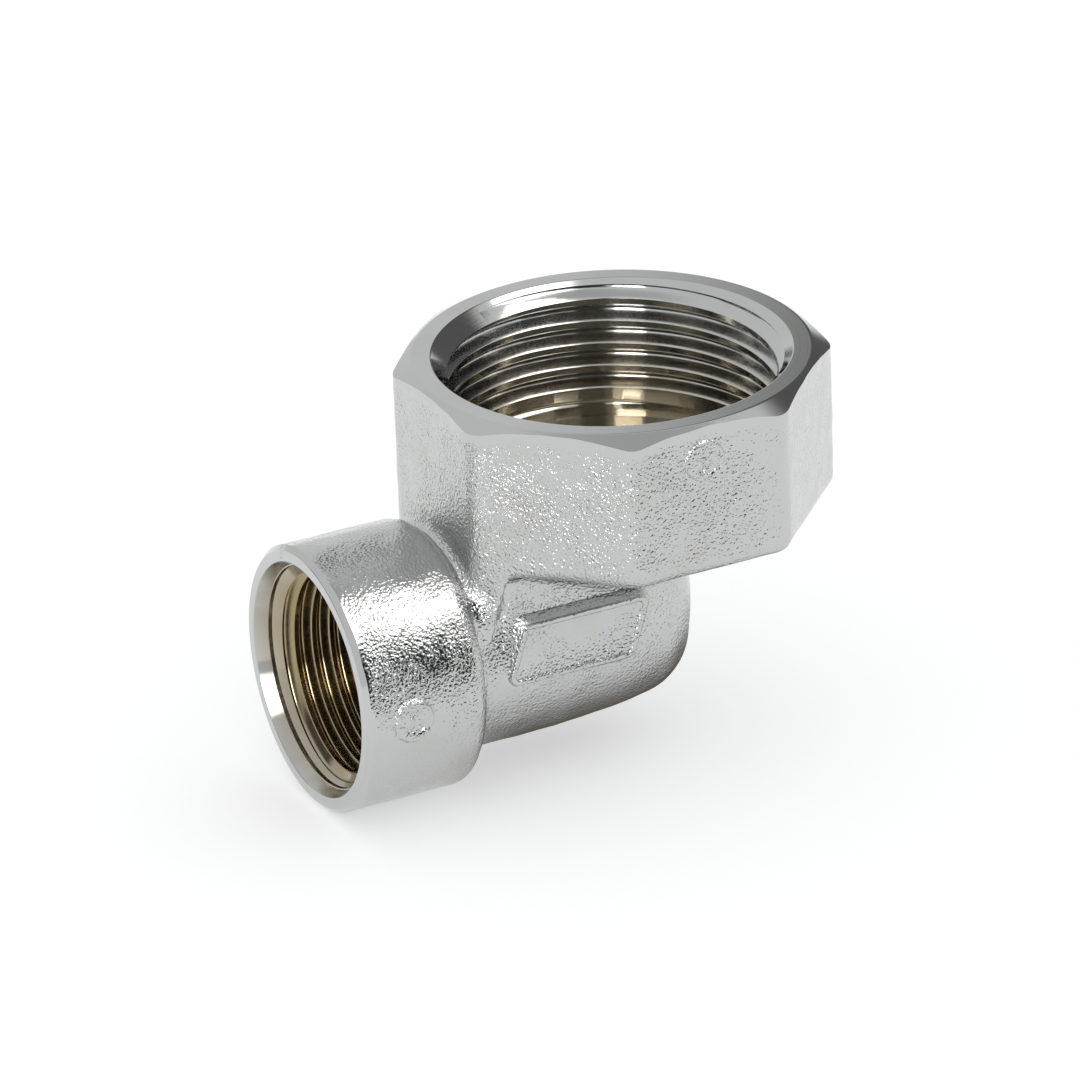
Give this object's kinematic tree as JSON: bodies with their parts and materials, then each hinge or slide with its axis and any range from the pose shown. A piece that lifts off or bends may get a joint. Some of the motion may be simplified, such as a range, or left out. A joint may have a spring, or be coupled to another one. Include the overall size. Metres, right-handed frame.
{
  "type": "manifold elbow adapter",
  "caption": "Forged and chromed reducing pipe elbow: a large threaded port in an octagonal collar, turned a right angle to a small threaded port in a round sleeve.",
  "frame": {"origin": "on the large port's axis, at the level where its thread starts under the lead-in", "axes": "+Z out of the large port's mouth along its axis; -X out of the small port's mouth; the part is symmetric about the plane of both axes, apart from a raised pad and two pin marks on its -Y side"},
  "size_m": [0.0517, 0.0381, 0.0384],
  "materials": {
    "chromed_brass": "bright chrome plate over forged brass: pebbled where forged, smooth where turned"
  },
  "bodies": {
    "root": {"elbow_body": "chromed_brass"}
  },
  "joints": []
}
